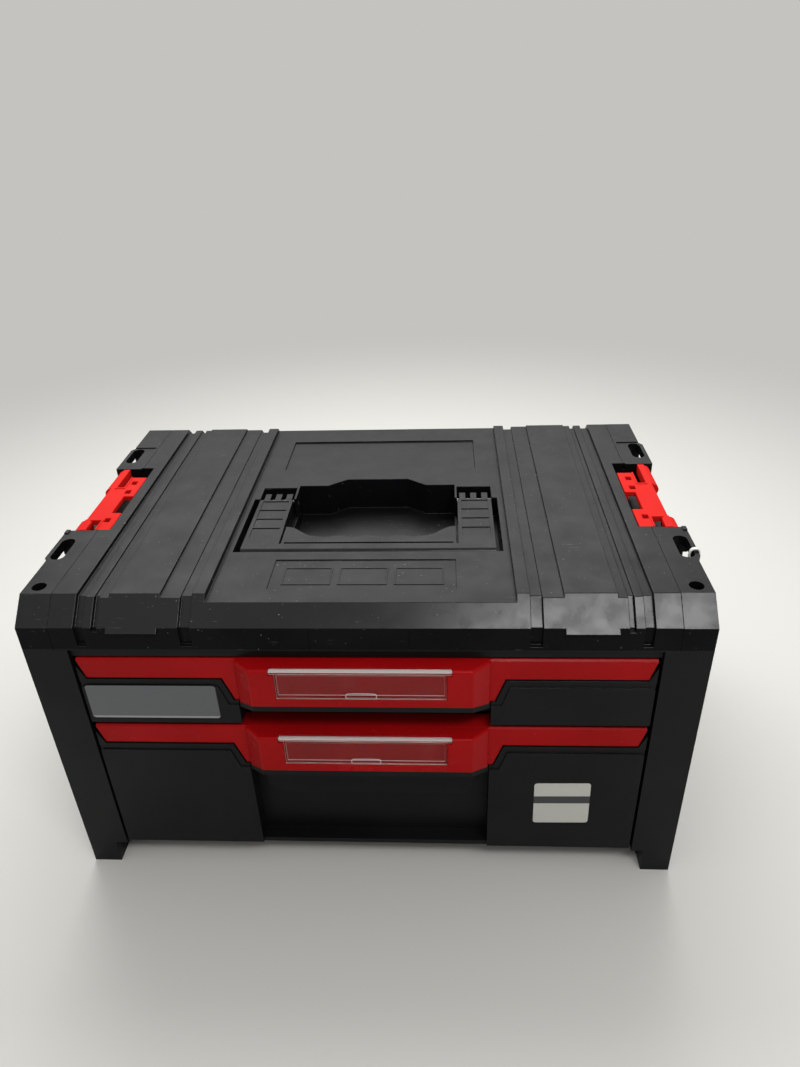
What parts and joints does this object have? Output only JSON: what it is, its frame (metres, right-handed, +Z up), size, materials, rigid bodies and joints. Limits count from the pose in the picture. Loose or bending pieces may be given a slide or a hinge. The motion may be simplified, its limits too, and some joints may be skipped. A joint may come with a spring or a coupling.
{
  "type": "portable tool box with drawers",
  "caption": "Portable stacking tool box with sliding drawers, clear flip-up label windows, a fold-down carry handle and side latches that clip on another box.",
  "frame": {"origin": "the middle of the whole object's footprint, on the ground under the feet", "axes": "+X to the right along the drawer fronts, +Y from the drawer fronts to the back, +Z up"},
  "size_m": [0.45, 0.31, 0.244],
  "materials": {
    "black_shell": "fine matt texture",
    "black_inner": "moulded satin",
    "slide_plastic": "smooth, low friction",
    "red_shell": "glossy",
    "clear_window": "clear, polished",
    "steel": "zinc plated"
  },
  "bodies": {
    "case": {"top_cover": "black_shell", "side_panel_right": "black_shell", "side_panel_left": "black_shell", "side_frame_right": "black_inner", "side_frame_left": "black_inner", "base_plate": "black_inner", "back_panel": "black_inner", "guide_upper_right": "slide_plastic", "guide_upper_left": "slide_plastic", "guide_lower_right": "slide_plastic", "guide_lower_left": "slide_plastic", "handle_pin_right": "steel", "handle_pin_left": "steel", "latch_pin_right": "steel", "latch_pin_left": "steel", "strip_screws": "steel", "base_screws": "steel", "back_screws": "steel"},
    "carry_handle": {"carry_handle": "black_shell"},
    "latch_right": {"latch_right": "red_shell"},
    "latch_left": {"latch_left": "red_shell"},
    "drawer_upper": {"upper_tray": "black_inner", "upper_front": "black_shell", "upper_pull": "red_shell", "upper_front_screws": "steel"},
    "drawer_lower": {"lower_tray": "black_inner", "lower_front": "black_shell", "lower_pull": "red_shell", "lower_front_screws": "steel"},
    "window_upper": {"upper_label_window": "clear_window"},
    "window_lower": {"lower_label_window": "clear_window"}
  },
  "joints": [
    {"name": "drawer_upper_slide", "type": "slide", "parent": "case", "child": "drawer_upper", "axis": [0, -1, 0], "range_m": [0, 0.22]},
    {"name": "drawer_lower_slide", "type": "slide", "parent": "case", "child": "drawer_lower", "axis": [0, -1, 0], "range_m": [0, 0.22]},
    {"name": "window_upper_hinge", "type": "hinge", "parent": "drawer_upper", "child": "window_upper", "pos_m": [0, -0.1531, 0.2001], "axis": [-1, 0, 0], "range_deg": [0, 110]},
    {"name": "window_lower_hinge", "type": "hinge", "parent": "drawer_lower", "child": "window_lower", "pos_m": [0, -0.1531, 0.1411], "axis": [-1, 0, 0], "range_deg": [0, 110]},
    {"name": "carry_handle_hinge", "type": "hinge", "parent": "case", "child": "carry_handle", "pos_m": [0, 0.0143, 0.233], "axis": [-1, 0, 0], "range_deg": [0, 95]},
    {"name": "latch_right_hinge", "type": "hinge", "parent": "case", "child": "latch_right", "pos_m": [0.2175, 0.0055, 0.237], "axis": [0, 1, 0], "range_deg": [0, 100]},
    {"name": "latch_left_hinge", "type": "hinge", "parent": "case", "child": "latch_left", "pos_m": [-0.2175, 0.0055, 0.237], "axis": [0, -1, 0], "range_deg": [0, 100]}
  ]
}
